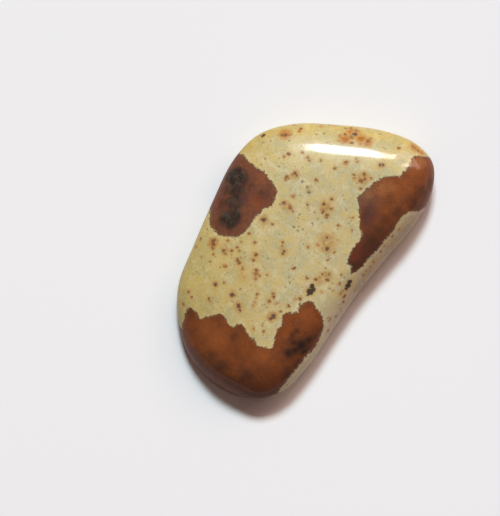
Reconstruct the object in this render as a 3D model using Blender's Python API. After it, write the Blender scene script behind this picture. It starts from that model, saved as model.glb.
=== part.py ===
"""A polished piece of porcelanite, which is clay baked hard in the ground and then tumbled smooth.

The stone is one solid. Seen from above it is a leaning oval with one flank that is almost straight.
Its top is a low dome that rolls over at the shoulders to the widest line, and its underside curves
in to a small flat spot that it rests on. The widest line runs about a third of the way up, but it
dips at the near tip and rises beside it, and the dome falls a little towards that tip. The origin is
on the flat spot, under the middle of the stone. +Y runs along the stone and +Z points up.
"""

import math

import bmesh
import bpy
from mathutils import Vector

MM = 0.001

# Driving dimensions, in millimetres
LENGTH = 19.5
WIDTH = 11.5
HEIGHT = 3.0

# The widest line seen from above, anticlockwise from the far tip, in millimetres.
# The two tips are the first point and the twelfth, with as many points on either side.
OUTLINE = (
    (2.65, 9.76), (0.50, 9.12), (-1.75, 7.85), (-3.90, 6.38), (-5.35, 4.55), (-5.72, 2.30),
    (-5.20, -0.80), (-4.60, -3.50), (-3.90, -6.10), (-2.45, -8.05), (-0.60, -9.32),
    (1.70, -9.76), (3.90, -9.12), (5.20, -7.55), (5.55, -5.20), (5.45, -2.40), (5.38, 0.20),
    (5.46, 1.90), (5.60, 3.60), (5.74, 5.70), (5.42, 7.90), (4.40, 9.42),
)
COLUMNS_PER_SPAN = 5

# Each row holds eight values: where the outline faces +X, halfway to +Y, +Y, halfway to -X and so on
GIRDLE_HEIGHT = (1.12, 1.15, 1.18, 1.15, 1.05, 0.68, 0.45, 1.40)
SHOULDER_INSET = (1.90, 1.35, 0.90, 0.80, 0.60, 0.65, 1.15, 2.15)
DOME_RISE = (0.45, 0.72, 1.16, 1.38, 1.50, 1.50, 1.00, 0.18)
UNDERCUT_INSET = (1.00, 1.05, 1.10, 1.00, 0.90, 0.90, 1.00, 1.00)
BELLY_DROP = (0.08, 0.09, 0.10, 0.10, 0.10, 0.09, 0.08, 0.08)

# How the shoulders curve, in the same eight places: the first row makes the upper end of the roll
# fuller as it grows, and the second makes the lower end steeper as it shrinks. They have no unit.
SHOULDER_POWER = (2.0, 2.0, 2.0, 2.0, 2.0, 1.8, 1.8, 1.7)
ROLL_POWER = (0.57, 0.57, 0.57, 0.57, 0.58, 0.62, 0.68, 0.74)
DOME_POWER = 2.7

# The crown line runs along the middle of the top, for this share of the stone's length, and its ends
# bow towards +X by so many millimetres. The top loses a share of its rise at the near tip.
CROWN_LINE_SHARE = 0.58
CROWN_LINE_BOW = 1.6
TOP_FALL = 0.20

# How much of the way in from the widest line the last ring of the dome and the flat spot lie
CROWN_REACH = 0.93
FLAT_SPOT_REACH = 0.68

SHOULDER_RINGS = 10
DOME_RINGS = 7
UNDERCUT_RINGS = 8
BELLY_RINGS = 4

STONE_COLOUR = (0.50, 0.39, 0.18, 1.0)
STONE_ROUGHNESS = 0.12


def clear_scene():
    for old in list(bpy.data.objects):
        bpy.data.objects.remove(old, do_unlink=True)


def point_between(before, start, end, after, share):
    """A point on the centripetal curve from start to end, which also heeds the points around them."""
    knots = [0.0]
    for a, b in ((before, start), (start, end), (end, after)):
        knots.append(knots[-1] + math.sqrt((b - a).length))
    t = knots[1] + (knots[2] - knots[1]) * share

    def blend(a, b, low, high):
        return a.lerp(b, (t - low) / (high - low))

    first = blend(before, start, knots[0], knots[1])
    middle = blend(start, end, knots[1], knots[2])
    last = blend(end, after, knots[2], knots[3])
    left = blend(first, middle, knots[0], knots[2])
    right = blend(middle, last, knots[1], knots[3])
    return blend(left, right, knots[1], knots[2])


def smooth_outline():
    """The outline as a closed smooth curve, fitted to the stone's length and width."""
    corners = [Vector(pair) for pair in OUTLINE]
    count = len(corners)
    curve = []
    for i in range(count):
        around = [corners[(i + k) % count] for k in (-1, 0, 1, 2)]
        for step in range(COLUMNS_PER_SPAN):
            curve.append(point_between(*around, step / COLUMNS_PER_SPAN))
    low = Vector((min(p.x for p in curve), min(p.y for p in curve)))
    high = Vector((max(p.x for p in curve), max(p.y for p in curve)))
    middle = (low + high) / 2
    grow_x = WIDTH / (high.x - low.x)
    grow_y = LENGTH / (high.y - low.y)
    return [Vector(((p.x - middle.x) * grow_x, (p.y - middle.y) * grow_y)) for p in curve]


def facing_at(curve, i):
    """The direction that the outline faces, anticlockwise from +X."""
    along = curve[(i + 1) % len(curve)] - curve[i - 1]
    return math.atan2(-along.x, along.y)


def on_side(values, facing):
    """Blends the values of a row round the stone, by the way that the outline faces."""
    count = len(values)
    place = facing / math.tau * count
    first = math.floor(place)
    share = math.sin((place - first) * math.pi / 2) ** 2
    return values[first % count] * (1 - share) + values[(first + 1) % count] * share


def crown_point(edge):
    """The point of the crown line that a point of the outline leans towards."""
    bow = CROWN_LINE_BOW * (edge.y / (LENGTH / 2)) ** 2
    return Vector((bow, edge.y * CROWN_LINE_SHARE))


def top_fall(y):
    """The share of its rise that the top loses towards the near tip."""
    return TOP_FALL * max(0.0, -y / (LENGTH / 2)) ** 2


def quarter_turns(count):
    """Angles from level to upright, in equal steps, without the first."""
    return [math.pi / 2 * k / count for k in range(1, count + 1)]


def upper_profile(facing, reach):
    """Inset and height of each ring from the widest line up to the crown."""
    girdle = on_side(GIRDLE_HEIGHT, facing)
    shoulder = on_side(SHOULDER_INSET, facing)
    fullness = on_side(SHOULDER_POWER, facing)
    roll = on_side(ROLL_POWER, facing)
    dome_rise = on_side(DOME_RISE, facing)
    shoulder_rise = HEIGHT - girdle - dome_rise
    insets = [shoulder * (1 - math.cos(turn)) for turn in quarter_turns(SHOULDER_RINGS)]
    last = reach * CROWN_REACH
    insets += [shoulder + (last - shoulder) * k / DOME_RINGS for k in range(1, DOME_RINGS + 1)]
    profile = []
    for inset in insets:
        left_of_shoulder = max(0.0, 1 - inset / shoulder)
        rolled = (1 - left_of_shoulder ** fullness) ** roll
        domed = 1 - (1 - inset / reach) ** DOME_POWER
        profile.append((inset, girdle + shoulder_rise * rolled + dome_rise * domed))
    return profile


def lower_profile(facing, reach):
    """Inset and height of each ring from the widest line down to the flat spot."""
    girdle = on_side(GIRDLE_HEIGHT, facing)
    undercut = on_side(UNDERCUT_INSET, facing)
    belly = on_side(BELLY_DROP, facing)
    flat = reach * FLAT_SPOT_REACH
    insets = [undercut * (1 - math.cos(turn)) for turn in quarter_turns(UNDERCUT_RINGS)]
    insets += [undercut + (flat - undercut) * k / BELLY_RINGS for k in range(1, BELLY_RINGS + 1)]
    profile = []
    for inset in insets:
        left_of_undercut = max(0.0, 1 - inset / undercut)
        rolled = 1 - math.sqrt(1 - left_of_undercut ** 2)
        profile.append((inset, (girdle - belly) * rolled + belly * (1 - inset / flat) ** 2))
    return profile


def make_rings():
    """Rings of points from the flat spot, over the widest line, to the crown."""
    curve = smooth_outline()
    columns = []
    for i, edge in enumerate(curve):
        facing = facing_at(curve, i)
        inward = crown_point(edge) - edge
        reach = inward.length
        inward.normalize()
        girdle = on_side(GIRDLE_HEIGHT, facing)
        profile = lower_profile(facing, reach)[::-1] + [(0.0, girdle)] + upper_profile(facing, reach)
        column = []
        for inset, z in profile:
            point = edge + inward * inset
            above = max(0.0, z - girdle)
            column.append(Vector((point.x, point.y, z - above * top_fall(point.y))))
        columns.append(column)
    return [[column[k] for column in columns] for k in range(len(columns[0]))]


def make_stone():
    rings = make_rings()
    count = len(rings[0])
    shape = bmesh.new()
    loops = [[shape.verts.new(point * MM) for point in ring] for ring in rings]
    for lower, upper in zip(loops, loops[1:]):
        for i in range(count):
            j = (i + 1) % count
            shape.faces.new((lower[i], lower[j], upper[j], upper[i]))
    shape.faces.new(loops[0][::-1])
    crown = loops[-1]
    shape.faces.new((crown[0], crown[1], crown[-1]))
    for i in range(1, count // 2 - 1):
        shape.faces.new((crown[i], crown[i + 1], crown[-i - 1], crown[-i]))
    middle = count // 2
    shape.faces.new((crown[middle - 1], crown[middle], crown[middle + 1]))
    mesh = bpy.data.meshes.new("stone")
    shape.to_mesh(mesh)
    shape.free()
    mesh.shade_smooth()
    stone = bpy.data.objects.new("stone", mesh)
    bpy.context.collection.objects.link(stone)
    return stone


def polished_stone_material():
    material = bpy.data.materials.new("polished_porcelanite")
    material.use_nodes = True
    shader = material.node_tree.nodes["Principled BSDF"]
    shader.inputs["Base Color"].default_value = STONE_COLOUR
    shader.inputs["Roughness"].default_value = STONE_ROUGHNESS
    shader.inputs["Metallic"].default_value = 0.0
    return material


def main():
    clear_scene()
    stone = make_stone()
    stone.data.materials.append(polished_stone_material())


main()
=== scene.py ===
# %% [markdown]
# # A polished piece of porcelanite
#
# Porcelanite is clay that was baked hard in the ground, here cream with rust specks and three
# brown patches. This piece was ground to a free shape and tumbled until it shone. The solid model
# gives its size and form. This script makes the surface that is seen: a finer mesh, the markings,
# the polish, and the light and camera of the photo.

# %% Load the solid model
import math

import bpy
import numpy as np
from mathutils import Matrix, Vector
from mathutils.bvhtree import BVHTree


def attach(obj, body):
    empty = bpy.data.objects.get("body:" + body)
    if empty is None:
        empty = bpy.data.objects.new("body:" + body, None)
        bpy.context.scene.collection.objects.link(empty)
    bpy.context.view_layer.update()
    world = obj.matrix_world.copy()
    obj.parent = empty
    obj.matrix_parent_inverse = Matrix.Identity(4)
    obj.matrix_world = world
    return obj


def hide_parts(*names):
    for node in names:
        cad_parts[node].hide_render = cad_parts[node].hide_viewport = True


MM = 0.001
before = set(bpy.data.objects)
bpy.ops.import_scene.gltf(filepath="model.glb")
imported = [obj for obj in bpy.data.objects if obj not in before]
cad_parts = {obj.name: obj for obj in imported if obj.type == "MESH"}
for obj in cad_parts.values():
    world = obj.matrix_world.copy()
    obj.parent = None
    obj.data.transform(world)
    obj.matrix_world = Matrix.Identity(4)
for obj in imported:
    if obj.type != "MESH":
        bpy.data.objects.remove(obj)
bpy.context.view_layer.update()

# %% [markdown]
# ## The stone's own mesh
#
# A mirror-like polish shows every facet, so the solid's flat faces can't stay. We could model the
# stone again from a sphere, but then it would drift from the size that the solid fixes. Instead
# we copy the solid's mesh, merge its loose triangles, turn them back into quads and let a
# Subdivision Surface round them. The solid itself stays untouched and hidden, and the copy stands
# for it.

# %% Copy the solid and make it smooth
SMOOTHING_LEVELS = 2
MERGE_WITHIN = 0.002 * MM
QUAD_ANGLE = math.radians(60)


def select_only(thing):
    """Leaves one object selected and active, as a click on it does."""
    bpy.ops.object.select_all(action="DESELECT")
    thing.select_set(True)
    bpy.context.view_layer.objects.active = thing


def apply_modifier(thing, kind, **settings):
    modifier = thing.modifiers.new(kind.lower(), kind)
    for name, value in settings.items():
        setattr(modifier, name, value)
    select_only(thing)
    bpy.ops.object.modifier_apply(modifier=modifier.name)


def copy_of_solid(node, name):
    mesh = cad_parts[node].data.copy()
    mesh.name = name
    thing = bpy.data.objects.new(name, mesh)
    bpy.context.scene.collection.objects.link(thing)
    select_only(thing)
    bpy.ops.mesh.customdata_custom_splitnormals_clear()
    bpy.ops.object.mode_set(mode="EDIT")
    bpy.ops.mesh.select_all(action="SELECT")
    bpy.ops.mesh.remove_doubles(threshold=MERGE_WITHIN)
    bpy.ops.mesh.tris_convert_to_quads(face_threshold=QUAD_ANGLE, shape_threshold=QUAD_ANGLE)
    bpy.ops.object.mode_set(mode="OBJECT")
    return thing


stone = copy_of_solid("stone", "polished_stone")
print("merged copy:", len(stone.data.vertices), "points,", len(stone.data.polygons), "faces")
apply_modifier(stone, "SUBSURF", levels=SMOOTHING_LEVELS, render_levels=SMOOTHING_LEVELS)
bpy.ops.object.shade_smooth()
stone.data.materials.clear()
stone.data.calc_loop_triangles()
print("smooth stone:", len(stone.data.loop_triangles), "triangles")

# %% [markdown]
# ## Where the brown patches lie
#
# The patches are real bodies of browner rock that the grinding cut through, so their outlines are
# sharp and ragged. A texture painted by hand would work, but a picture is hard to change. We keep
# each outline as a list of points in millimetres, once for the top and once for the underside,
# and give every point of the mesh its distance to the nearest edge of the patch, positive inside.
# The material can then draw a crisp edge, a rim and a soft inner colour from one number. Down the
# flanks the outline of the top turns gradually into that of the underside.

# %% The outlines, as (x, y) in millimetres
LEFT_PATCH = (
    (-6.52, 2.44), (-5.86, 2.80), (-5.47, 2.86), (-5.15, 2.80), (-4.92, 2.70), (-4.61, 2.74),
    (-4.25, 2.71), (-3.82, 2.79), (-3.46, 2.67), (-3.05, 2.58), (-2.70, 2.42), (-2.41, 2.28),
    (-2.30, 1.97), (-2.14, 1.59), (-2.13, 1.26), (-2.41, 0.90), (-2.41, 0.48), (-2.55, 0.26),
    (-2.48, -0.15), (-2.50, -0.55), (-2.52, -0.95), (-2.59, -1.27), (-2.87, -1.63), (-3.29, -1.89),
    (-3.66, -2.08), (-4.05, -2.02), (-4.41, -1.94), (-4.71, -1.69), (-4.92, -1.35), (-5.16, -1.02),
    (-5.70, -1.11), (-6.82, -0.85),
)

RIGHT_PATCH = (
    (3.12, 8.86), (3.26, 8.50), (3.30, 8.04), (3.20, 7.71), (3.26, 7.42), (2.97, 7.34),
    (2.72, 7.11), (2.40, 6.88), (2.33, 6.62), (2.18, 6.38), (2.08, 6.06), (2.02, 5.69),
    (1.90, 5.27), (1.82, 4.87), (2.14, 4.53), (2.48, 4.19), (2.84, 3.72), (3.05, 3.36),
    (3.38, 3.18), (3.52, 2.70), (3.47, 2.08), (3.57, 1.66), (3.71, 1.18), (3.96, 1.23),
    (4.17, 1.01), (4.27, 0.75), (4.46, 1.05), (4.65, 1.60), (4.63, 2.10), (4.72, 2.65),
    (4.79, 3.13), (4.77, 3.61), (4.82, 4.23), (4.86, 4.75), (4.78, 5.20), (4.80, 5.63),
    (4.95, 5.99), (5.19, 6.24), (5.39, 6.31), (5.53, 6.67), (6.13, 7.33), (6.25, 8.65),
    (4.79, 10.66), (4.10, 9.70), (3.79, 9.43), (3.33, 9.15),
)

NEAR_PATCH = (
    (-2.78, -9.04), (-2.10, -8.40), (-2.37, -7.67), (-2.46, -7.35), (-2.59, -7.14), (-2.63, -6.84),
    (-2.50, -6.69), (-2.25, -6.71), (-2.01, -6.68), (-1.76, -6.89), (-1.54, -6.86), (-1.48, -6.61),
    (-1.28, -6.54), (-1.17, -6.29), (-0.98, -6.15), (-0.85, -5.94), (-0.62, -5.91), (-0.34, -5.96),
    (-0.08, -6.11), (0.16, -6.18), (0.36, -6.11), (0.47, -5.85), (0.63, -5.67), (0.84, -5.69),
    (1.13, -5.81), (1.53, -6.02), (1.80, -5.95), (2.14, -6.15), (2.48, -6.09), (2.78, -5.98),
    (3.04, -5.81), (3.03, -5.63), (2.86, -5.30), (2.70, -4.91), (2.61, -4.60), (2.71, -4.40),
    (2.57, -4.12), (2.34, -3.71), (2.49, -3.48), (2.81, -3.22), (3.04, -3.01), (2.88, -2.75),
    (2.75, -2.61), (3.02, -2.45), (3.00, -2.24), (3.17, -2.05), (3.50, -1.98), (3.81, -2.14),
    (4.20, -2.23), (4.57, -2.48), (4.88, -2.82), (5.02, -3.29), (5.14, -3.71), (5.24, -4.28),
    (5.09, -4.96), (5.07, -5.80), (5.01, -6.61), (5.00, -7.19), (4.94, -7.62), (5.24, -8.36),
    (4.59, -10.21), (0.85, -11.40),
)

UNDER_LEFT_PATCH = (
    (-6.6, 1.9), (-5.2, 2.3), (-4.2, 1.9), (-3.6, 2.4), (-2.9, 1.6), (-3.1, 0.7), (-3.7, 0.2),
    (-3.9, -0.6), (-4.7, -0.9), (-6.6, -0.6),
)
UNDER_RIGHT_PATCH = (
    (2.9, 11.0), (2.4, 9.3), (1.6, 8.6), (2.0, 7.6), (1.5, 6.9), (2.4, 6.2), (3.4, 6.4), (3.9, 5.6),
    (4.9, 5.7), (7.0, 6.2), (7.0, 11.0),
)
UNDER_NEAR_PATCH = (
    (-6.0, -7.6), (-3.2, -6.9), (-2.5, -7.4), (-1.9, -6.3), (-1.0, -6.8), (-0.2, -5.9), (0.5, -6.3),
    (0.9, -7.4), (1.9, -7.7), (2.5, -7.0), (3.1, -7.9), (4.2, -8.2), (5.0, -12.0), (-6.0, -12.0),
)

print("points in the outlines of the top:", len(LEFT_PATCH + RIGHT_PATCH + NEAR_PATCH))

# %% Distances from every point of the mesh to the outlines
FURTHEST = 3.0
ALL_UNDERSIDE = 0.30
ALL_TOP = 1.10


def inside_by(points, outline):
    """How far each point lies inside an outline, in millimetres, with outside negative."""
    corners = np.array(outline)
    nearest = np.full(len(points), FURTHEST)
    inside = np.zeros(len(points), bool)
    for a, b in zip(corners, np.roll(corners, -1, axis=0)):
        side = b - a
        share = np.clip((points - a) @ side / (side @ side), 0, 1)
        gap = points - (a + share[:, None] * side)
        nearest = np.minimum(nearest, np.hypot(gap[:, 0], gap[:, 1]))
        crosses = (a[1] > points[:, 1]) != (b[1] > points[:, 1])
        if a[1] != b[1]:
            at_x = a[0] + (points[:, 1] - a[1]) * side[0] / side[1]
            inside ^= crosses & (points[:, 0] < at_x)
    return np.where(inside, nearest, -nearest)


def read_points(thing, what):
    """A vector for every point of the mesh: its place for "co", or its normal."""
    flat = np.empty(len(thing.data.vertices) * 3)
    thing.data.vertices.foreach_get(what, flat)
    return flat.reshape(-1, 3)


def keep_number(thing, name, values):
    """Stores a number for every point of the mesh, where the material can read it."""
    thing.data.attributes.new(name, "FLOAT", "POINT").data.foreach_set("value", values)


def add_patch(thing, name, top, underside):
    points = read_points(thing, "co") / MM
    share = np.clip((points[:, 2] - ALL_UNDERSIDE) / (ALL_TOP - ALL_UNDERSIDE), 0, 1)
    share = share * share * (3 - 2 * share)
    below = inside_by(points[:, :2], underside)
    above = inside_by(points[:, :2], top)
    depth = below * (1 - share) + above * share
    keep_number(thing, name, depth)
    print(name, "covers", round(100 * (depth > 0).mean()), "% of the points")


add_patch(stone, "left_patch", LEFT_PATCH, UNDER_LEFT_PATCH)
add_patch(stone, "right_patch", RIGHT_PATCH, UNDER_RIGHT_PATCH)
add_patch(stone, "near_patch", NEAR_PATCH, UNDER_NEAR_PATCH)

# %% [markdown]
# ## How steep the surface is
#
# On this stone the flanks look duller and warmer than the top, so the shine fades where the
# surface turns down, and the colour there gets painted shade and a painted edge fringe. A
# material could only guess the slope from where the camera stands, so every point of the mesh gets
# a number of its own: 0 where the stone lies level, 1 where it stands upright.

# %% Steepness of every point
def add_steepness(thing):
    """0 where the surface lies level and 1 where it stands upright."""
    steepness = 1 - np.abs(read_points(thing, "normal")[:, 2])
    keep_number(thing, "steepness", steepness)
    print("steep points:", round(100 * (steepness > 0.5).mean()), "%")


add_steepness(stone)

# %% [markdown]
# ## Specks, dots and stains
# Some of the clouds are painted shade where the patches roll over, and at the far tip of the right
# patch one glowing place and one pale spot are a painted highlight.
#
# Iron leached through the cream rock and left rust specks, and manganese probably left the black
# ones. The larger ones are listed as (x, y, radius) in millimetres, and a ray from above finds the
# height of the surface there. In the material each becomes a small ball, so a speck stays round on
# a flank and doesn't run through to the underside. More lists of the same kind hold the stains
# round the specks and the lumps, clouds and glowing places inside the patches.
# The hidden side has a short list too.

# %% The specks, as (x, y, radius) in millimetres
DARK_SPOTS = (
    (-1.62, 1.93, 0.12), (0.42, 3.30, 0.12), (-0.57, 7.96, 0.16), (-1.06, 7.59, 0.11),
    (2.20, 1.21, 0.14), (1.80, 1.76, 0.10), (-2.00, 0.37, 0.14), (-2.15, 0.29, 0.11),
    (-0.87, -4.55, 0.16), (1.33, 6.28, 0.10), (1.96, -4.10, 0.16), (1.93, -4.32, 0.14),
    (-2.10, -4.65, 0.14), (1.79, 7.29, 0.11), (1.94, 7.40, 0.11), (0.16, -0.50, 0.10),
    (0.15, -0.66, 0.09), (-0.14, -4.90, 0.15), (0.08, -5.05, 0.11),
)

BLACK_SPOTS = (
    (4.60, 0.12, 0.20), (4.54, 0.34, 0.17), (4.61, -0.09, 0.12), (2.90, -1.58, 0.22),
    (2.82, -1.23, 0.17), (3.00, -1.36, 0.16), (-5.13, 4.58, 0.15), (2.90, -1.79, 0.10),
)

RUST_SPECKS = (
    (-4.05, 5.40, 0.16), (-4.21, 5.23, 0.12), (-3.85, 5.56, 0.12), (-3.99, 6.20, 0.10),
    (-3.47, 6.27, 0.11), (-3.48, 6.07, 0.09), (-2.52, 7.15, 0.10), (-2.16, 7.54, 0.07),
    (-1.94, 7.71, 0.07), (-1.15, 7.07, 0.12), (-0.42, 7.36, 0.12), (0.11, 7.64, 0.11),
    (0.29, 8.08, 0.14), (0.34, 8.27, 0.10), (-1.24, 7.94, 0.10), (-0.99, 8.14, 0.10),
    (-0.58, 8.22, 0.14), (-0.61, 7.73, 0.15), (-1.25, 7.34, 0.10), (-3.19, 4.56, 0.11),
    (-3.33, 4.24, 0.08), (-2.53, 5.14, 0.11), (-1.92, 4.99, 0.11), (-2.09, 5.06, 0.09),
    (-1.32, 5.38, 0.07), (0.03, 6.16, 0.15), (0.57, 6.63, 0.09), (0.39, 6.76, 0.07),
    (-0.35, 5.50, 0.09), (-2.15, 3.80, 0.12), (-1.97, 3.79, 0.09), (-2.24, 3.63, 0.07),
    (-2.38, 3.30, 0.14), (-2.38, 3.14, 0.10), (-0.85, 4.21, 0.12), (0.83, 5.86, 0.08),
    (1.03, 5.67, 0.08), (1.42, 5.83, 0.15), (1.54, 6.03, 0.10), (1.85, 6.31, 0.08),
    (1.69, 5.41, 0.08), (-1.39, 2.59, 0.11), (-1.19, 1.95, 0.14), (-1.07, 1.91, 0.10),
    (-0.88, 1.82, 0.09), (0.62, 3.82, 0.10), (0.95, 3.34, 0.11), (0.60, 2.93, 0.14),
    (0.99, 2.80, 0.14), (-0.37, 2.69, 0.09), (1.95, 2.75, 0.11), (2.35, 3.66, 0.07),
    (2.75, 3.04, 0.07), (-1.44, 0.42, 0.09), (-0.24, -0.09, 0.10), (-0.16, -0.30, 0.07),
    (1.16, 0.56, 0.08), (2.68, 1.25, 0.07), (1.60, 1.02, 0.09), (2.62, 0.69, 0.07),
    (1.26, -0.98, 0.11), (2.91, -0.25, 0.07), (3.23, -0.01, 0.09), (2.74, -0.74, 0.11),
    (2.89, -0.56, 0.10), (3.34, -0.36, 0.11), (2.25, -1.02, 0.08), (3.85, 0.41, 0.07),
    (3.50, -1.16, 0.07), (3.76, -0.71, 0.06), (4.07, -0.12, 0.08), (1.14, -3.00, 0.12),
    (1.28, -3.15, 0.11), (2.64, -2.28, 0.12), (2.48, -2.50, 0.08), (-2.24, -0.88, 0.11),
    (-3.77, -2.51, 0.15), (-3.67, -2.72, 0.16), (-3.54, -2.92, 0.11), (-4.50, -2.92, 0.08),
    (-4.45, -3.47, 0.08), (-3.04, -2.00, 0.09), (-2.34, -1.99, 0.09), (-2.51, -2.35, 0.09),
    (-2.90, -2.64, 0.11), (-2.69, -2.76, 0.09), (-2.11, -2.11, 0.07), (-2.34, -1.59, 0.07),
    (-1.65, -1.12, 0.09), (-3.30, -3.22, 0.09), (-3.77, -3.76, 0.07), (-2.28, -3.38, 0.12),
    (-1.88, -2.64, 0.12), (-1.67, -2.71, 0.12), (-1.29, -2.89, 0.07), (-1.15, -1.70, 0.14),
    (-1.06, -2.03, 0.10), (-0.56, -2.46, 0.12), (-0.45, -2.67, 0.13), (-0.28, -2.94, 0.11),
    (-0.20, -2.58, 0.07), (0.16, -2.29, 0.07), (-1.75, -4.25, 0.08), (-3.16, -5.98, 0.11),
    (-1.88, -5.64, 0.11), (-1.74, -5.66, 0.07), (-2.83, -6.16, 0.08), (0.37, -3.62, 0.09),
    (0.45, -3.86, 0.06), (1.22, -3.53, 0.11), (1.66, -3.38, 0.10), (0.52, -4.14, 0.08),
    (0.56, -4.34, 0.08), (-0.23, -4.84, 0.14), (2.33, -3.08, 0.10), (2.15, -3.63, 0.08),
    (1.84, -4.39, 0.11), (1.43, -5.48, 0.08), (2.02, -5.25, 0.09), (4.93, -2.28, 0.07),
    (4.79, -0.57, 0.12), (4.51, -0.60, 0.08), (4.55, -0.38, 0.08), (2.97, 9.45, 0.15),
    (2.78, 9.46, 0.10), (3.22, 9.44, 0.11), (2.13, 8.85, 0.09), (-2.98, -6.83, 0.10),
    (1.41, 6.21, 0.09), (4.99, 2.98, 0.08), (5.01, 2.22, 0.09), (5.04, 1.86, 0.07),
    (4.98, 1.20, 0.07), (4.98, 1.51, 0.07), (5.12, 0.15, 0.06), (4.96, -0.89, 0.10),
    (5.03, -1.30, 0.07), (5.12, -1.85, 0.07), (4.89, -2.17, 0.07), (4.98, 3.42, 0.07),
    (5.01, 4.22, 0.08), (5.26, -2.89, 0.07), (5.11, 4.82, 0.06),
)

BLACK_DOTS = (
    (-1.48, 3.65, 0.09), (-0.75, 3.32, 0.10), (-1.07, 3.53, 0.09), (-0.25, 1.10, 0.08),
    (0.07, 1.06, 0.08), (0.29, 1.27, 0.08), (-2.48, 6.55, 0.07), (-2.17, 6.87, 0.08),
    (-0.42, -1.41, 0.07), (0.27, 2.55, 0.07), (1.25, 4.28, 0.06), (1.75, 3.86, 0.07),
    (2.83, 0.18, 0.08), (1.58, -1.90, 0.08), (1.49, -2.28, 0.06), (-0.61, -3.96, 0.07),
    (-4.18, 3.43, 0.08), (0.72, 8.91, 0.09), (1.46, 8.28, 0.07), (-1.65, 6.52, 0.06),
    (-1.39, 6.17, 0.05), (0.78, 7.40, 0.06), (-2.63, 5.38, 0.06), (-3.17, -3.71, 0.10),
    (-3.63, 5.21, 0.09),
)

RUST_STAINS = (
    (-0.71, 7.97, 0.31), (-0.89, 7.38, 0.25), (-0.09, 7.96, 0.22), (0.36, 7.98, 0.16),
    (2.96, 9.48, 0.25), (3.44, 9.45, 0.16), (-4.09, 5.44, 0.25), (-3.73, -2.67, 0.19),
)

BROWN_STAINS = (
    (0.67, 3.21, 0.19), (1.89, 1.64, 0.19), (2.17, 1.15, 0.16), (-1.37, 1.80, 0.16),
    (1.42, 5.99, 0.19), (2.78, -1.48, 0.16), (1.90, -4.18, 0.16), (-0.52, -2.64, 0.12),
    (-2.87, -2.58, 0.12), (-2.00, 0.35, 0.16), (-2.05, 3.69, 0.12), (-0.89, 3.46, 0.12),
    (0.05, -0.47, 0.12), (3.22, -0.08, 0.19), (3.07, -0.72, 0.12), (-0.17, -4.92, 0.12),
)

OCHRE_STAINS = (
    (2.00, 1.49, 0.75), (0.59, 3.23, 0.56), (-1.37, 1.80, 0.43), (-0.58, 7.91, 0.62),
    (-1.01, 7.44, 0.43), (-4.09, 5.44, 0.50), (1.39, 6.04, 0.50), (-1.78, -2.71, 0.43),
    (-2.28, -3.39, 0.31), (-3.64, -2.68, 0.43), (-1.11, -1.84, 0.37), (-0.47, -2.61, 0.37),
    (-0.91, -4.54, 0.31), (2.78, -1.48, 0.37), (1.90, -4.18, 0.43), (-2.00, 0.35, 0.31),
    (0.29, 8.08, 0.37), (2.96, 9.48, 0.37), (0.02, 6.12, 0.31), (-2.82, -2.55, 0.50),
    (1.61, 0.98, 0.31), (3.03, -0.45, 0.43), (1.24, -3.59, 0.31), (-3.10, 4.39, 0.25),
    (-2.14, 3.70, 0.37), (-2.13, -4.66, 0.31), (-0.08, -4.94, 0.37), (-3.43, 6.22, 0.31),
    (-1.90, 7.71, 0.37), (-1.01, -3.23, 0.50), (-1.10, -2.55, 0.35),
)

DARK_LUMPS = (
    (-5.27, 1.35, 0.43), (-4.95, 1.66, 0.43), (-4.56, 1.64, 0.31), (-4.81, 1.15, 0.34),
    (-4.66, 0.72, 0.25), (-4.34, 1.03, 0.21), (-4.25, 0.48, 0.22), (-4.28, -0.00, 0.21),
    (-3.81, 0.19, 0.16), (-3.83, -0.21, 0.21), (-3.99, -0.94, 0.37), (-3.61, -0.82, 0.43),
    (-3.51, -0.44, 0.31), (-3.53, -1.14, 0.22),
)

BLACK_CORE = (
    (4.42, -4.58, 0.26), (4.60, -4.03, 0.13), (4.30, -5.05, 0.17), (4.08, -5.44, 0.15),
    (4.79, -4.77, 0.13), (3.66, -4.06, 0.08), (3.59, -4.34, 0.09), (3.69, -4.58, 0.09),
    (3.96, -4.69, 0.11),
)

PURPLE_CLOUDS = (
    (3.13, 4.38, 0.25), (2.80, 4.78, 0.20), (3.25, 4.00, 0.16), (-3.90, 0.60, 0.25),
)

RED_CLOUDS = (
    (3.83, 1.85, 0.25), (3.58, 2.40, 0.16), (4.25, 4.75, 0.12), (-3.00, 1.05, 0.22),
    (-5.05, -0.55, 0.20),
)

# Pale spots in the right patch; the first, at its far tip, is a painted highlight
PALE_SPOTS_AND_HIGHLIGHT = (
    (3.70, 8.87, 0.22), (2.74, 6.18, 0.25), (2.22, 5.42, 0.16), (3.12, 6.61, 0.12),
)

DUSKY_ZONES = (
    (-4.98, 1.49, 0.62), (-4.41, 0.91, 0.50), (-4.08, 0.14, 0.50), (-3.70, -0.81, 0.62),
    (-3.00, 1.62, 0.25), (-4.60, -0.31, 0.37), (-5.01, 0.47, 0.31), (-4.04, -1.29, 0.31),
    (-3.95, 1.55, 0.19),
)

# Dark clouds inside the patches. Those along the right edge of the right patch and the lower right
# edge of the near patch, where the surface rolls over, are painted shade; the rest are dark marks
# in the rock
DARK_CLOUDS_AND_RIM_SHADE = (
    (4.10, 3.25, 0.37), (4.08, 3.92, 0.28), (4.11, 4.72, 0.25), (2.90, 4.37, 0.22),
    (5.00, 7.51, 0.31), (4.99, 6.58, 0.31), (5.02, 8.22, 0.25), (4.52, -4.51, 0.62),
    (4.78, -3.71, 0.31), (4.07, -5.37, 0.43), (4.96, -3.11, 0.19), (1.47, -8.34, 0.11),
    (0.72, -6.58, 0.11), (5.42, -5.01, 0.19), (1.22, -8.52, 0.31), (2.66, -8.08, 0.31),
    (4.18, 1.24, 0.16), (4.37, 5.52, 0.16), (0.33, -8.40, 0.12), (-2.45, -6.95, 0.16),
    (-2.15, -7.05, 0.12), (4.95, -5.60, 0.31), (4.75, -6.50, 0.31),
)

# Brighter clouds in the patches; the first, at the right patch's far tip, is painted highlight haze
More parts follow.
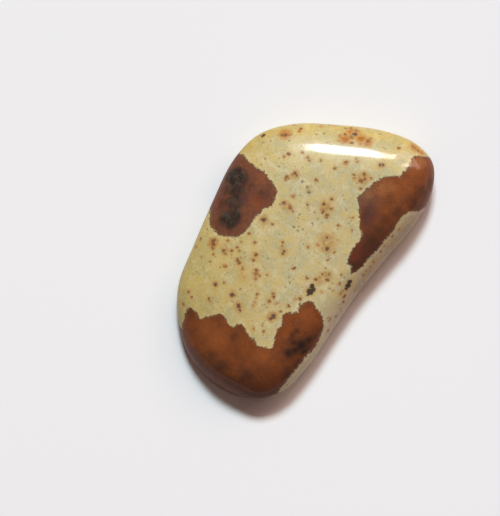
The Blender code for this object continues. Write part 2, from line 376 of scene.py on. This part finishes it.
BRIGHT_CLOUDS_AND_HIGHLIGHT_HAZE = (
    (3.78, 8.77, 0.31), (3.75, 8.06, 0.25), (3.72, 7.27, 0.28), (3.40, 6.65, 0.28),
    (2.78, 6.13, 0.37), (-0.82, -7.31, 0.37), (-0.06, -7.30, 0.50), (3.45, -2.83, 0.31),
    (2.92, -6.44, 0.31), (-2.85, 0.88, 0.09), (-3.64, 2.39, 0.12),
)

UNDER_SPOTS = (
    (-2.6, 4.4, 0.16), (-0.8, 5.9, 0.11), (1.4, 4.6, 0.14), (0.2, 2.2, 0.18), (-1.9, -1.2, 0.12),
    (3.6, 1.2, 0.15), (2.2, -1.4, 0.20), (-0.6, -3.1, 0.13), (3.9, -4.4, 0.16), (-2.4, -4.6, 0.10),
    (1.1, -5.0, 0.12), (4.1, 3.4, 0.10),
)

print("specks placed by hand on top:",
      len(RUST_SPECKS + DARK_SPOTS + BLACK_SPOTS + BLACK_DOTS))

# %% Find the height of the surface under each speck
CLEAR_OF_STONE = 10

surface = BVHTree.FromObject(stone, bpy.context.evaluated_depsgraph_get())


def on_surface(spots, from_above=True):
    """The centre of each spot on the stone, and its radius, all in millimetres."""
    placed = []
    way = -1 if from_above else 1
    for x, y, radius in spots:
        start = Vector((x, y, -way * CLEAR_OF_STONE)) * MM
        hit = surface.ray_cast(start, Vector((0, 0, way)))[0]
        if hit is not None:
            placed.append((tuple(hit / MM), radius))
    return placed


print("height of the first dark spot, in mm:", round(on_surface(DARK_SPOTS)[0][0][2], 2))

# %% [markdown]
# ## Writing a material as sums
#
# A stone like this needs hundreds of small shader steps, and wiring them by hand hides what they
# do. The class below wraps a socket, so that `1 - mask` or `a * b` adds the Math node that does
# it. Every other kind of node comes from one method, which takes its type, its settings and its
# sockets.

# %% A small class for shader sums
# A Mix node keeps sockets for numbers, vectors and colours under one name, so these go by number
FACTOR = 0
FIRST_COLOUR = 6
SECOND_COLOUR = 7
MIXED_COLOUR = 2


class Wire:
    """A socket in a material's node tree that can be used in Python sums."""

    def __init__(self, tree, socket):
        self.tree = tree
        self.socket = socket

    def node(self, kind, settings=None, sockets=None, output=0):
        """Adds a node. Settings come first, and then its sockets get their values or links."""
        made = self.tree.nodes.new(kind)
        for name, value in (settings or {}).items():
            setattr(made, name, value)
        for name, value in (sockets or {}).items():
            if isinstance(value, Wire):
                self.tree.links.new(value.socket, made.inputs[name])
            else:
                made.inputs[name].default_value = value
        return Wire(self.tree, made.outputs[output])

    def math(self, operation, *values, clamp=False):
        settings = {"operation": operation, "use_clamp": clamp}
        return self.node("ShaderNodeMath", settings, dict(enumerate((self,) + values)))

    def __add__(self, other):
        return self.math("ADD", other)

    def __radd__(self, other):
        return self.math("ADD", other)

    def __mul__(self, other):
        return self.math("MULTIPLY", other)

    def __rmul__(self, other):
        return self.math("MULTIPLY", other)

    def __sub__(self, other):
        return self.math("SUBTRACT", other)

    def __rsub__(self, other):
        return self.math("MULTIPLY_ADD", -1.0, other)

    def rise(self, low, high):
        """0 below low, 1 above high, and a straight ramp between. With low above high it falls."""
        scale = 1 / (high - low)
        return self.math("MULTIPLY_ADD", scale, -low * scale, clamp=True)

    def at_most(self, other):
        return self.math("MINIMUM", other)

    def at_least(self, other):
        return self.math("MAXIMUM", other)

    def tint(self, colour, share, blend="MIX"):
        """This colour, mixed with another by a share from 0 to 1."""
        if isinstance(colour, tuple):
            colour = colour + (1.0,)
        settings = {"data_type": "RGBA", "blend_type": blend}
        sockets = {FACTOR: share, FIRST_COLOUR: self, SECOND_COLOUR: colour}
        return self.node("ShaderNodeMix", settings, sockets, output=MIXED_COLOUR)

    def filtered(self, colour, share):
        """This colour, seen through a coloured glass, by a share from 0 to 1."""
        return self.tint(colour, share, blend="MULTIPLY")

    def vector_math(self, operation, sockets, output="Vector"):
        """A Vector Math step on this vector, which fills the step's first socket."""
        settings = {"operation": operation}
        return self.node("ShaderNodeVectorMath", settings, {0: self, **sockets}, output)

    def moved(self, other):
        return self.vector_math("ADD", {1: other})

    def scaled(self, amount):
        return self.vector_math("SCALE", {"Scale": amount})

    def distance_to(self, point):
        return self.vector_math("DISTANCE", {1: point}, output="Value")

    def along(self, direction):
        """How far this point lies along a direction."""
        return self.vector_math("DOT_PRODUCT", {1: direction}, output="Value")

    def noise(self, scale, detail=2.0, roughness=0.5):
        """Soft noise from 0 to 1 at this point, with so many features in a millimetre."""
        sockets = {"Vector": self, "Scale": scale, "Detail": detail, "Roughness": roughness}
        return self.node("ShaderNodeTexNoise", None, sockets)

    def noise_vector(self, scale, detail=2.0):
        sockets = {"Vector": self, "Scale": scale, "Detail": detail}
        return self.node("ShaderNodeTexNoise", None, sockets, output="Color")

    def cells(self, scale, output="Distance"):
        """The distance to the middle of the nearest cell, or with "Color" the cell's own lot."""
        sockets = {"Vector": self, "Scale": scale}
        return self.node("ShaderNodeTexVoronoi", None, sockets, output)


def new_finish(name):
    """A new material and the place on the surface, in millimetres, as the start of its sums."""
    material = bpy.data.materials.new(name)
    material.use_nodes = True
    tree = material.node_tree
    place = Wire(tree, None).node("ShaderNodeTexCoord", output="Object").scaled(1 / MM)
    return material, tree.nodes["Principled BSDF"], place


def connect(value, shader, socket):
    value.tree.links.new(value.socket, shader.inputs[socket])


finish, shader, place = new_finish("polished_porcelanite_finish")
print("material started:", finish.name)

# %% [markdown]
# ## The cream ground
#
# Close up the cream rock isn't one colour. It is clouded with greyish green and warm yellow,
# grained like unglazed pottery, and yellower towards the leaning flank. A single noise would look
# like marble, so we layer a broad one, a middle one and a fine grain. Where the surface rolls over,
# painted light goes on top: painted shade on the far shoulder that faces the window, a painted
# yellow fringe along the rim of the leaning and far sides, painted mauve shade down the straight
# flank, and a painted pale reflection at that flank's near end. The leaning side's yellow and the
# tints at the rim are laid on like panes of coloured glass: the colours are multiplied, so the
# mottling stays, where mixing in one flat colour would wash it out.

# %% Cream with clouds and grain
PICTURE_RIGHT = (0.809, 0.588, 0.0)
PICTURE_UP = (-0.588, 0.809, 0.0)
STRAIGHT_FLANK = (1.0, 0.0, 0.0)
CREAM = (0.535, 0.440, 0.215)
GREY_GREEN = (0.455, 0.405, 0.220)
WARM_YELLOW = (0.560, 0.430, 0.165)
PALE = (0.660, 0.590, 0.370)
SHADE = (0.370, 0.290, 0.125)
# Painted reflection: a pale grey for the near end of the straight flank
PAINTED_FLANK_REFLECTION = (0.600, 0.500, 0.420)
YELLOW_GLASS = (0.93, 0.85, 0.61)
# Painted light where the rim rolls over: a yellow fringe, far shoulder shade, flank shade
PAINTED_RIM_FRINGE = (0.95, 0.87, 0.64)
FAR_SHOULDER_PAINTED_SHADE = (0.95, 0.92, 0.86)
PAINTED_FLANK_SHADE = (0.91, 0.82, 0.97)


def colour(value, like):
    """A fixed colour as the start of a chain of tints."""
    sockets = {FACTOR: 0.0, FIRST_COLOUR: value + (1.0,)}
    return like.node("ShaderNodeMix", {"data_type": "RGBA"}, sockets, output=MIXED_COLOUR)


def layered(base, *layers):
    """A colour with others laid over it in turn, each given with how much of it shows."""
    for layer_colour, share in layers:
        base = base.tint(layer_colour, share)
    return base


def kept_number(name):
    """A number that the mesh keeps for each of its points."""
    return place.node("ShaderNodeAttribute", {"attribute_name": name}, output="Fac")


# Places on the stone, as ramps in millimetres, and how steep it is there
across = place.along(PICTURE_RIGHT)
upward = place.along(PICTURE_UP)
towards_flank = place.along(STRAIGHT_FLANK)
steep = kept_number("steepness")
low_side = across.rise(0.5, -5.5)
far_side = upward.rise(4.0, 6.0)
straight_side = towards_flank.rise(3.9, 5.0) * upward.rise(-5.8, -2.8)
near_end_of_flank = towards_flank.rise(4.2, 5.0) * upward.rise(-2.8, -4.6)

broad = place.noise(0.75, 3.0, 0.6)
middle = place.noise(1.9, 4.0, 0.6)
grain = place.noise(8.0, 3.0, 0.6)
cream = layered(
    colour(CREAM, place),
    (GREY_GREEN, broad.rise(0.46, 0.56)),
    (WARM_YELLOW, middle.rise(0.50, 0.62) * 0.7),
    (PALE, middle.rise(0.48, 0.36) * 0.4),
    (PALE, grain.rise(0.52, 0.70) * 0.4),
    (SHADE, grain.rise(0.46, 0.30) * 0.38),
    # Painted reflection: the near end of the straight flank paler and greyer
    (PAINTED_FLANK_REFLECTION, near_end_of_flank * 0.36),
)
rolled_over = steep.rise(0.05, 0.35)
cream = cream.filtered(YELLOW_GLASS, low_side)
# Painted shade on the far shoulder, which faces the window, where it starts to turn down
cream = cream.filtered(FAR_SHOULDER_PAINTED_SHADE, steep.rise(0.01, 0.09) * far_side)
# A painted yellow fringe where the rim of the leaning and far sides rolls over
cream = cream.filtered(PAINTED_RIM_FRINGE, rolled_over * (low_side * 0.4).at_least(far_side))
# Painted shade: mauve down the straight flank, which faces away from the window
cream = cream.filtered(PAINTED_FLANK_SHADE, straight_side * steep.rise(0.05, 0.30))
print("cream ground has", len(finish.node_tree.nodes), "nodes so far")

# %% [markdown]
# ## Specks on the cream
#
# Each list of spots becomes one field: the distance to the nearest spot's edge, in millimetres,
# and negative inside. Noise bends the place first, so that no spot is a perfect disc. One field
# gives a dark core and, a little further out, the orange halo that rust leaves in the rock.

# %% Fields from the lists of spots
NOISE_MIDDLE = (-0.5, -0.5, -0.5)


def field_of(spots, where):
    """The distance from the nearest spot's edge, in millimetres."""
    nearest = None
    for centre, radius in spots:
        edge = where.distance_to(centre) - radius
        nearest = edge if nearest is None else nearest.at_most(edge)
    return nearest


def bent(where, scale, amount):
    """The place, pushed about by noise."""
    push = where.noise_vector(scale).moved(NOISE_MIDDLE).scaled(amount)
    return where.moved(push)


ragged = bent(place, 5.0, 0.26)
wavy = bent(place, 2.2, 0.70)
stains = field_of(on_surface(OCHRE_STAINS), wavy)
stained = field_of(on_surface(RUST_STAINS), ragged)
browned = field_of(on_surface(BROWN_STAINS), bent(place, 3.0, 0.5))
rust = field_of(on_surface(RUST_SPECKS), ragged)
cored = field_of(on_surface(DARK_SPOTS) + on_surface(UNDER_SPOTS, from_above=False), ragged)
black = field_of(on_surface(BLACK_SPOTS), ragged)
dots = field_of(on_surface(BLACK_DOTS), ragged)
print("fields bring it to", len(finish.node_tree.nodes), "nodes")

# %% Colour the specks
OCHRE = (0.470, 0.260, 0.070)
RUST = (0.290, 0.115, 0.032)
RUST_BROWN = (0.175, 0.080, 0.035)
RUST_STAIN = (0.370, 0.120, 0.013)
BROWN_STAIN = (0.330, 0.205, 0.075)
RUST_HALO = (0.480, 0.285, 0.095)
SPOT_CORE = (0.115, 0.062, 0.044)
SPOT_BLACK = (0.040, 0.028, 0.020)
DOT_BLACK = (0.110, 0.085, 0.055)

broken = place.noise(3.3)
rust_colour = colour(RUST, place).tint(RUST_BROWN, broken.rise(0.46, 0.56))
speckled = layered(
    cream,
    (OCHRE, stains.rise(0.10, -0.45) * broken.rise(0.32, 0.52) * 0.75),
    (BROWN_STAIN, browned.rise(0.26, -0.12) * broken.rise(0.34, 0.48) * 0.80),
    (RUST_STAIN, stained.rise(0.28, -0.08) * broken.rise(0.22, 0.36) * 0.97),
    (RUST_HALO, rust.rise(0.18, 0.0) * 0.55),
    (rust_colour, rust.rise(0.05, -0.06) * broken.rise(0.28, 0.46)),
    (RUST_HALO, cored.rise(0.24, 0.02) * 0.70),
    (SPOT_CORE, cored.rise(0.04, -0.06) * 0.95),
    (RUST_HALO, black.rise(0.20, 0.02) * 0.50),
    (SPOT_BLACK, black.rise(0.03, -0.05) * 0.95),
    (DOT_BLACK, dots.rise(0.02, -0.06) * 0.80),
)
print("placed specks bring it to", len(finish.node_tree.nodes), "nodes")

# %% [markdown]
# Between the placed specks lie many that are too small to place. Cells of a Voronoi texture
# scatter them: a random number for each cell keeps only some, and the distance to the cell's
# middle makes the dot. They cover the flanks and the underside too, where the photo doesn't look.

# %% Scatter the fine specks
FINE_RUST = (0.330, 0.170, 0.060)
FINE_BROWN = (0.190, 0.120, 0.065)
FIRST_OF_THREE = (1.0, 0.0, 0.0)
# Cells in a millimetre, the lot that keeps a cell's dot, and the dot's size as a share of the cell
FINE_SCATTER = ((1.7, 0.66, 0.20), (2.9, 0.64, 0.24), (4.6, 0.66, 0.28))
FIRM_MIDDLE = 0.4
LOT_SOFTNESS = 0.12
FINE_STRENGTH = 0.70


def scattered(where, cells_per_mm, size, firm, lot_low, lot_high):
    """Dots in some of the cells, with a soft edge from size in to firm."""
    lot = where.cells(cells_per_mm, output="Color").along(FIRST_OF_THREE)
    return where.cells(cells_per_mm).rise(size, firm) * lot.rise(lot_low, lot_high)


fine_colour = colour(FINE_RUST, place).tint(FINE_BROWN, broken.rise(0.48, 0.52))
for cells_per_mm, lot, size in FINE_SCATTER:
    firm = size * FIRM_MIDDLE
    fine_dots = scattered(ragged, cells_per_mm, size, firm, lot, lot + LOT_SOFTNESS)
    speckled = speckled.tint(fine_colour, fine_dots * FINE_STRENGTH)
print("speckled cream has", len(finish.node_tree.nodes), "nodes so far")

# %% [markdown]
# ## The brown patches
#
# Each patch has its own colour: the near one is orange brown, the right one runs from bright
# orange at the tip to dark red in its tail, and the left one is maroon with nearly black lumps. A
# thin grey brown rim comes and goes along the edges. The distance in the mesh is smooth, so noise
# of three sizes breaks it up into the small scallops that the real edges have, and pits and
# flecks roughen the colour inside, which would look airbrushed without them.

# %% Edges of the patches
fine_edge = place.noise(14.0) - 0.5
slow_edge = place.noise(4.0, 3.0, 0.6) - 0.5
bite_edge = place.noise(7.0) - 0.5
scallops = slow_edge * 0.26 + bite_edge * 0.22 + fine_edge * 0.16
left_depth = kept_number("left_patch") + scallops
right_depth = kept_number("right_patch") + scallops
near_depth = kept_number("near_patch") + scallops
lumps = field_of(on_surface(DARK_LUMPS), bent(place, 3.2, 0.30))
core = field_of(on_surface(BLACK_CORE), bent(place, 3.2, 0.25))
zones = field_of(on_surface(DUSKY_ZONES), wavy)
dark_clouds_and_shade = field_of(on_surface(DARK_CLOUDS_AND_RIM_SHADE), wavy)
glow = field_of(on_surface(BRIGHT_CLOUDS_AND_HIGHLIGHT_HAZE), wavy)
pale_spots_and_highlight = field_of(on_surface(PALE_SPOTS_AND_HIGHLIGHT), wavy)
purple = field_of(on_surface(PURPLE_CLOUDS), wavy)
reddened = field_of(on_surface(RED_CLOUDS), wavy)
print("edges and clouds bring it to", len(finish.node_tree.nodes), "nodes")

# %% Colour the patches
MAROON = (0.145, 0.050, 0.026)
MAROON_RED = (0.200, 0.068, 0.027)
MAROON_DARK = (0.100, 0.038, 0.022)
MAROON_BLACK = (0.070, 0.028, 0.018)
TIP_ORANGE = (0.215, 0.062, 0.017)
RED_BROWN = (0.130, 0.042, 0.018)
TAIL_RED = (0.085, 0.026, 0.014)
CORNER_GREY = (0.150, 0.085, 0.055)
ORANGE_BROWN = (0.208, 0.054, 0.013)
DEEP_BROWN = (0.140, 0.043, 0.014)
BRIGHT_BROWN = (0.255, 0.078, 0.020)
FLECK_BROWN = (0.090, 0.030, 0.013)
# A dark brown for dark clouds, and for painted shade on rolled-over rims
DARK_BROWN_AND_PAINTED_SHADE = (0.048, 0.020, 0.011)
GREY_CORNER = (1.95, 5.30, 0.0)

streaks = place.noise(1.1, 3.0, 0.55)
mottle = place.noise(3.0, 4.0, 0.6)
flecks = place.noise(9.0)

left_colour = layered(
    colour(MAROON, place),
    (MAROON_RED, mottle.rise(0.45, 0.62) * 0.7),
    (MAROON_DARK, flecks.rise(0.50, 0.35) * 0.5),
    (MAROON_BLACK, zones.rise(0.30, -0.20) * 0.90),
)
corner = place.distance_to(on_surface([GREY_CORNER])[0][0])
right_colour = layered(
    colour(TIP_ORANGE, place),
    (RED_BROWN, streaks.rise(0.42, 0.62) * 0.6),
    (TAIL_RED, upward.rise(1.9, -0.3)),
    (CORNER_GREY, corner.rise(1.6, 0.3) * 0.8),
    (FLECK_BROWN, flecks.rise(0.48, 0.33) * 0.35),
)
near_colour = layered(
    colour(ORANGE_BROWN, place),
    (DEEP_BROWN, streaks.rise(0.42, 0.60) * 0.65),
    (BRIGHT_BROWN, mottle.rise(0.55, 0.70) * 0.6),
    (FLECK_BROWN, flecks.rise(0.46, 0.32) * 0.4),
    # Painted shade: the near patch darker towards the near tip, where it rolls down
    (DARK_BROWN_AND_PAINTED_SHADE, upward.rise(-7.0, -9.6) * 0.35),
)
print("three patch colours bring it to", len(finish.node_tree.nodes), "nodes")

# %% [markdown]
# The patches are then laid on the cream one by one, and what all three share comes last: bright
# and dark clouds, pale and dark flecks, pits, and the nearly black lumps. The dark clouds along
# the rolled-over right edges of the right and near patches are painted shade, and at the far tip
# of the right patch a bright cloud and a pale spot are a painted highlight with its haze. Each
# layer is a line that gives its colour and where it shows.

# %% Lay the patches on the cream
RIM_BROWN = (0.115, 0.070, 0.040)
# Bright orange for brighter clouds, and for a painted highlight haze
BRIGHT_ORANGE_AND_HAZE = (0.280, 0.078, 0.019)
PALE_ORANGE = (0.340, 0.135, 0.048)
PURPLE_BROWN = (0.085, 0.034, 0.034)
CRIMSON = (0.165, 0.034, 0.014)
PIT_BROWN = (0.055, 0.022, 0.012)
LUMP_BLACK = (0.020, 0.016, 0.011)
LUMP_GREEN = (0.052, 0.041, 0.030)
CORE_BLACK = (0.016, 0.010, 0.007)
PITS_PER_MM = 3.6

speckle = place.noise(17.0, 3.0, 0.7)
rim_wear = place.noise(1.6, 3.0).rise(0.42, 0.60) * 0.65 + 0.22


def lay_patch(under, patch_colour, depth):
    """Puts a patch on what is under it: a pale line outside, a dark rim, then its own colour."""
    bare = depth.rise(-0.01, 0.04) * (1 - rim_wear)
    return layered(
        under,
        (PALE, depth.rise(-0.20, -0.04) * 0.15),
        (RIM_BROWN, depth.rise(-0.03, 0.03) * 0.9),
        (patch_colour, depth.rise(0.02, 0.12).at_least(bare)),
    )


surface_colour = lay_patch(speckled, left_colour, left_depth)
surface_colour = lay_patch(surface_colour, right_colour, right_depth)
surface_colour = lay_patch(surface_colour, near_colour, near_depth)
in_patch = left_depth.at_least(right_depth).at_least(near_depth).rise(0.02, 0.14)
pits = scattered(ragged, PITS_PER_MM, 0.26, 0.10, 0.62, 0.78)
lump_colour = colour(LUMP_BLACK, place).tint(LUMP_GREEN, mottle.rise(0.46, 0.58))
surface_colour = layered(
    surface_colour,
    # Brighter clouds and pale spots; at the right patch's far tip, a painted highlight and its haze
    (BRIGHT_ORANGE_AND_HAZE, glow.rise(0.45, -0.30) * in_patch * 0.75),
    (PALE_ORANGE, pale_spots_and_highlight.rise(0.35, -0.20) * in_patch * 0.70),
    # Dark clouds; along the rolled-over right edges they are painted shade
    (DARK_BROWN_AND_PAINTED_SHADE, dark_clouds_and_shade.rise(0.40, -0.25) * in_patch * 0.75),
    (PURPLE_BROWN, purple.rise(0.35, -0.20) * in_patch * 0.70),
    (CRIMSON, reddened.rise(0.35, -0.20) * in_patch * 0.65),
    (PALE_ORANGE, speckle.rise(0.54, 0.72) * in_patch * 0.22),
    (PIT_BROWN, speckle.rise(0.47, 0.30) * in_patch * 0.55),
    (PIT_BROWN, pits * in_patch * 0.60),
    (lump_colour, lumps.rise(0.20, -0.12) * in_patch * 0.90),
    (CORE_BLACK, core.rise(0.20, -0.12) * in_patch * 0.90),
)
connect(surface_colour, shader, "Base Color")
print("whole colour has", len(finish.node_tree.nodes), "nodes")

# %% [markdown]
# ## The polish
#
# The stone was tumbled until it shone like glass, but the rock under the shine is slightly
# porous. So the finish has two layers, as varnished wood has: a hazy base, and over it a thin
# clear coat that mirrors the window. The coat is a fit to what is seen from above: it fades where
# the flanks turn down, comes back on the very edge, and is weak at one corner, where the window's
# reflection dies away. A perfectly even sheen looks like plastic, so the roughness drifts with
# the grain and a very weak bump lets the reflection waver.

# %% Gloss and a faint waviness
POLISH = 0.11
HAZE = 0.36
HAZE_DRIFT = 0.10
BODY_IOR = 1.50
BODY_SHINE = 0.09
COAT_IOR = 1.46
LOST_ON_FLANKS = 0.92
REGAINED_ON_RIM = 0.80
WAVINESS = 0.0012 * MM

connect(grain * HAZE_DRIFT + (HAZE - HAZE_DRIFT / 2), shader, "Roughness")
flank = steep.rise(0.14, 0.36)
rim = steep.rise(0.86, 0.98)
worn_side = across.rise(2.9, 1.5) * 0.80 + across.rise(1.5, 0.2) * 0.14
worn_corner = worn_side * upward.rise(4.4, 5.2)
coat = 1.0 - flank * LOST_ON_FLANKS + rim * REGAINED_ON_RIM
connect(coat * (1 - worn_corner), shader, "Coat Weight")
ripple = place.noise(2.5)
bump_sockets = {"Strength": 1.0, "Distance": WAVINESS, "Height": ripple}
connect(place.node("ShaderNodeBump", None, bump_sockets), shader, "Normal")
shader.inputs["IOR"].default_value = BODY_IOR
shader.inputs["Specular IOR Level"].default_value = BODY_SHINE
shader.inputs["Coat Roughness"].default_value = POLISH
shader.inputs["Coat IOR"].default_value = COAT_IOR
stone.data.materials.append(finish)
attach(stone, "root")
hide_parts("stone")
print("roughness of the clear coat:", POLISH)

# %% [markdown]
# ## Floor, light and camera
#
# The stone lies on a plain pale floor by a window. The window is two level strips of light, one
# above the other, and its width is fitted to the soft edge of the shadow. Beside it hangs a
# dimmer strip, as of a window behind a curtain: it lengthens the white highlight, and it half
# fills the shadow along the straight flank. A wide, weak glow from the side and a mauve room do
# the rest and warm the shadow. The window is a little blue in return, because the floor has to
# come out neutral. A single large light would be simpler, but its shadow would be far too soft
# for so long a highlight.

# %% A plain pale floor
FLOOR_SIZE = 6.0
FLOOR_COLOUR = (0.80, 0.80, 0.80, 1.0)
FLOOR_ROUGHNESS = 0.95

bpy.ops.object.select_all(action="DESELECT")
bpy.ops.mesh.primitive_plane_add(size=FLOOR_SIZE, location=(0, 0, 0))
floor = bpy.context.object
floor.name = "pale_floor"
floor_finish = bpy.data.materials.new("pale_floor_finish")
floor_finish.use_nodes = True
floor_shader = floor_finish.node_tree.nodes["Principled BSDF"]
floor_shader.inputs["Base Color"].default_value = FLOOR_COLOUR
floor_shader.inputs["Roughness"].default_value = FLOOR_ROUGHNESS
floor_shader.inputs["Specular IOR Level"].default_value = 0.0
floor.data.materials.append(floor_finish)
print("floor is", FLOOR_SIZE, "m wide")

# %% The light
PICTURE_TURN = math.radians(36)
WINDOW_DISTANCE = 2.0
WINDOW_TILT = math.radians(43)
WINDOW_BEARING = math.radians(91)
WINDOW_WIDTH = math.radians(14)
STRIP_HEIGHT = math.radians(4.5)
WINDOW_POWER = 0.75
CURTAIN_BEARING = math.radians(74)
CURTAIN_WIDTH = math.radians(20)
CURTAIN_POWER = 0.23
SIDE_TILT = math.radians(55)
SIDE_BEARING = math.radians(42)
SIDE_WIDTH = math.radians(30)
SIDE_HEIGHT = math.radians(20)
SIDE_POWER = 0.165
UPPER_COLOUR = (0.83, 1.00, 0.98)
LOWER_COLOUR = (0.83, 1.01, 1.20)
CURTAIN_COLOUR = (1.00, 0.80, 0.72)
SIDE_COLOUR = (1.00, 0.66, 0.56)
MAUVE_GLOW = (0.17, 0.11, 0.095, 1.0)


def in_picture(x, y, z):
    """A direction given by the picture's right and up, turned into the stone's own frame."""
    turned_x = x * math.cos(PICTURE_TURN) - y * math.sin(PICTURE_TURN)
    turned_y = x * math.sin(PICTURE_TURN) + y * math.cos(PICTURE_TURN)
    return Vector((turned_x, turned_y, z))


def hang_strip(name, tilt, bearing, width, height, power, light_colour):
    """A level strip of light, aimed at the stone."""
    way = in_picture(
        math.sin(tilt) * math.cos(bearing),
        math.sin(tilt) * math.sin(bearing),
        math.cos(tilt),
    )
    light = bpy.data.lights.new(name, "AREA")
    light.shape = "RECTANGLE"
    light.size = 2 * WINDOW_DISTANCE * math.tan(width / 2)
    light.size_y = 2 * WINDOW_DISTANCE * math.tan(height / 2)
    light.energy = power * 4 * math.pi * WINDOW_DISTANCE ** 2
    light.color = light_colour
    strip = bpy.data.objects.new(name, light)
    strip.location = way * WINDOW_DISTANCE
    strip.rotation_euler = way.to_track_quat("Z", "Y").to_euler()
    bpy.context.scene.collection.objects.link(strip)
    print(name, "is", round(light.size, 2), "by", round(light.size_y, 2), "m")


window = (WINDOW_BEARING, WINDOW_WIDTH, STRIP_HEIGHT, WINDOW_POWER / 2)
curtain = (CURTAIN_BEARING, CURTAIN_WIDTH, STRIP_HEIGHT * 2, CURTAIN_POWER)
side = (SIDE_BEARING, SIDE_WIDTH, SIDE_HEIGHT, SIDE_POWER)
hang_strip("upper_strip", WINDOW_TILT - STRIP_HEIGHT / 2, *window, UPPER_COLOUR)
hang_strip("lower_strip", WINDOW_TILT + STRIP_HEIGHT / 2, *window, LOWER_COLOUR)
hang_strip("curtain", WINDOW_TILT, *curtain, CURTAIN_COLOUR)
hang_strip("side_glow", SIDE_TILT, *side, SIDE_COLOUR)
world = bpy.data.worlds.new("room")
world.use_nodes = True
world.node_tree.nodes["Background"].inputs["Color"].default_value = MAUVE_GLOW
bpy.context.scene.world = world
print("glow of the room:", MAUVE_GLOW[:3])

# %% The camera, straight above as in the photo
PIXELS_PER_MM = 16.1
PICTURE_SIZE = (500, 516)
PICTURE_MIDDLE = (-1.32, -2.07)
CAMERA_HEIGHT = 0.25
SCALE_HEIGHT = 1.5 * MM
NEAR_CLIP = 0.01
SENSOR = 36.0

lens = bpy.data.cameras.new("camera")
lens.sensor_width = SENSOR
picture_height = PICTURE_SIZE[1] / PIXELS_PER_MM * MM
lens.lens = SENSOR * (CAMERA_HEIGHT - SCALE_HEIGHT) / picture_height
lens.clip_start = NEAR_CLIP
camera = bpy.data.objects.new("camera", lens)
camera.location = (PICTURE_MIDDLE[0] * MM, PICTURE_MIDDLE[1] * MM, CAMERA_HEIGHT)
camera.rotation_euler = (0, 0, PICTURE_TURN)
bpy.context.scene.collection.objects.link(camera)
bpy.context.scene.camera = camera
bpy.context.scene.view_settings.view_transform = "Standard"
print("lens, in mm:", round(lens.lens, 1))
